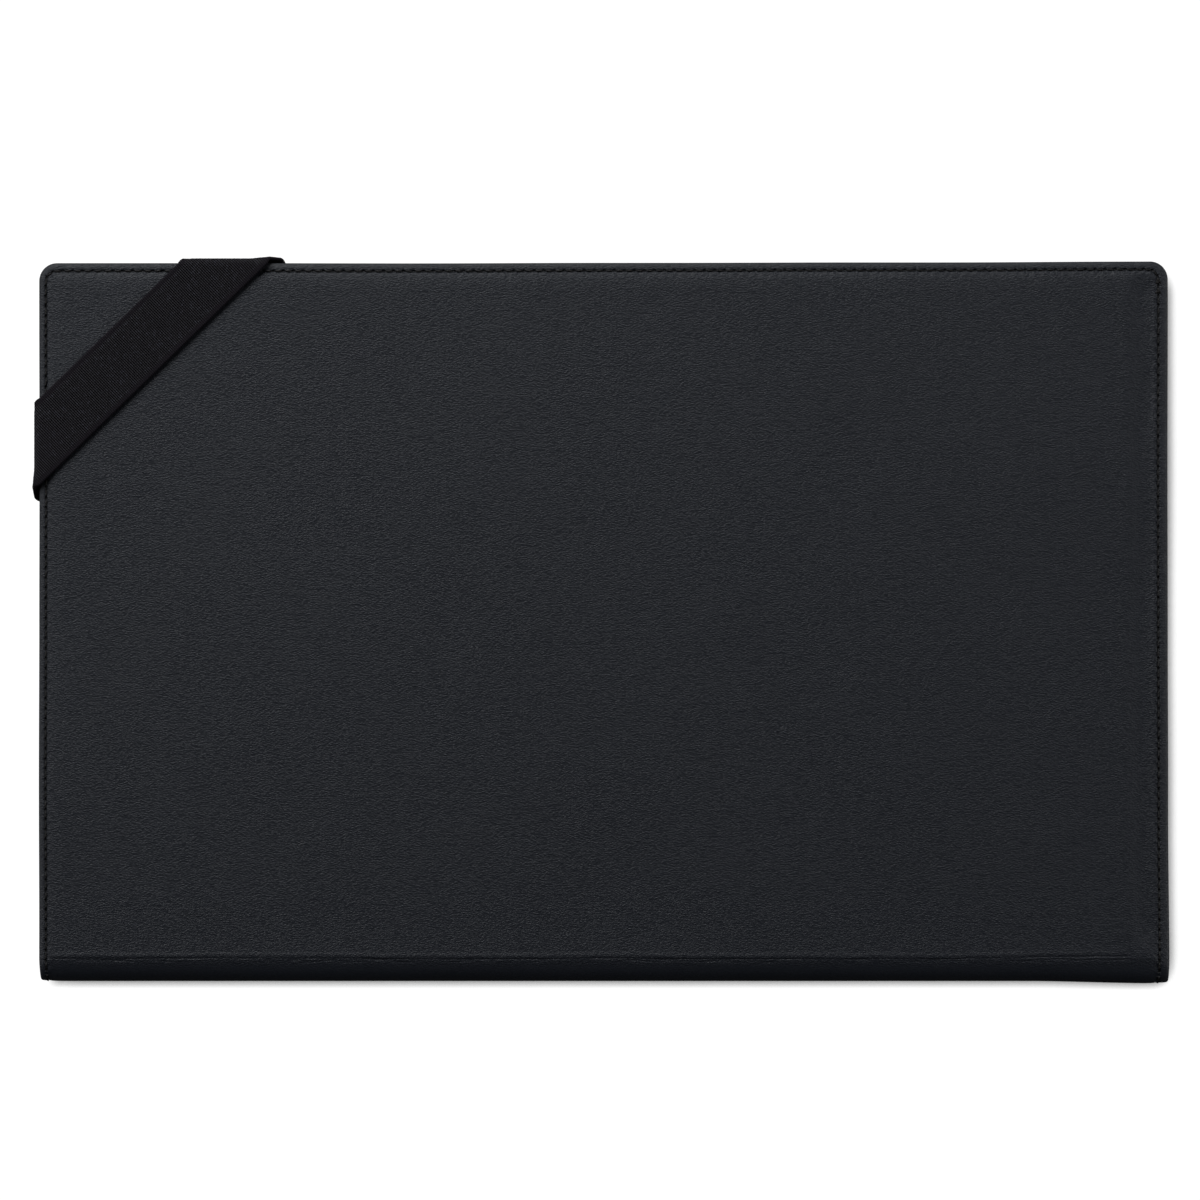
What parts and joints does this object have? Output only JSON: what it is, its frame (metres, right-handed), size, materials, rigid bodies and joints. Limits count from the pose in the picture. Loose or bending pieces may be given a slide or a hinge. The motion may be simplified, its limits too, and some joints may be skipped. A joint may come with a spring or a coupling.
{
  "type": "leather notebook cover",
  "caption": "Flat leather cover for a notebook, with turned and stitched edges, inner sleeves, a soft rolled spine and an elastic band over one corner.",
  "frame": {"origin": "middle of the back cover's outer face, half way between the head and tail edges and half way across the closed width", "axes": "+X towards the tail edge along the spine, +Y from the spine towards the fore edge, +Z out of the front cover; the cover is closed and lies on its back"},
  "size_m": [0.221, 0.141, 0.009],
  "materials": {
    "leather": "blue-black fine-grained leather, semi-matt",
    "lining": "black twill lining",
    "sleeve": "thin black split leather, matt",
    "padding": "charcoal foam sheet",
    "board": "grey board",
    "thread": "black twisted polyester thread",
    "elastic": "black ribbed woven elastic"
  },
  "bodies": {
    "back": {"back_leather": "leather", "back_padding": "padding", "back_board": "board", "back_lining": "lining", "back_sleeve": "sleeve", "back_seam_thread": "thread", "back_hem_thread": "thread", "band_end_head": "elastic", "band_end_fore": "elastic"},
    "spine_back": {"spine_leather_back": "leather", "spine_lining_back": "lining", "spine_thread_head_back": "thread", "spine_thread_tail_back": "thread"},
    "spine_front": {"spine_leather_front": "leather", "spine_lining_front": "lining", "spine_thread_head_front": "thread", "spine_thread_tail_front": "thread"},
    "front": {"front_leather": "leather", "front_padding": "padding", "front_board": "board", "front_lining": "lining", "front_sleeve": "sleeve", "front_seam_thread": "thread", "front_hem_thread": "thread"},
    "band": {"elastic_band": "elastic"}
  },
  "joints": [
    {"name": "back_crease", "type": "hinge", "parent": "back", "child": "spine_back", "pos_m": [0, -0.0652, 0], "axis": [1, 0, 0], "range_deg": [0, 45]},
    {"name": "spine_fold", "type": "hinge", "parent": "spine_back", "child": "spine_front", "pos_m": [0, -0.07, 0.00405], "axis": [1, 0, 0], "range_deg": [0, 90]},
    {"name": "front_crease", "type": "hinge", "parent": "spine_front", "child": "front", "pos_m": [0, -0.0652, 0.0081], "axis": [1, 0, 0], "range_deg": [0, 45]},
    {"name": "band_pull", "type": "slide", "parent": "back", "child": "band", "axis": [-0.7071, 0.7071, 0], "range_m": [0, 0.034], "deforming": ["elastic_band"]}
  ]
}
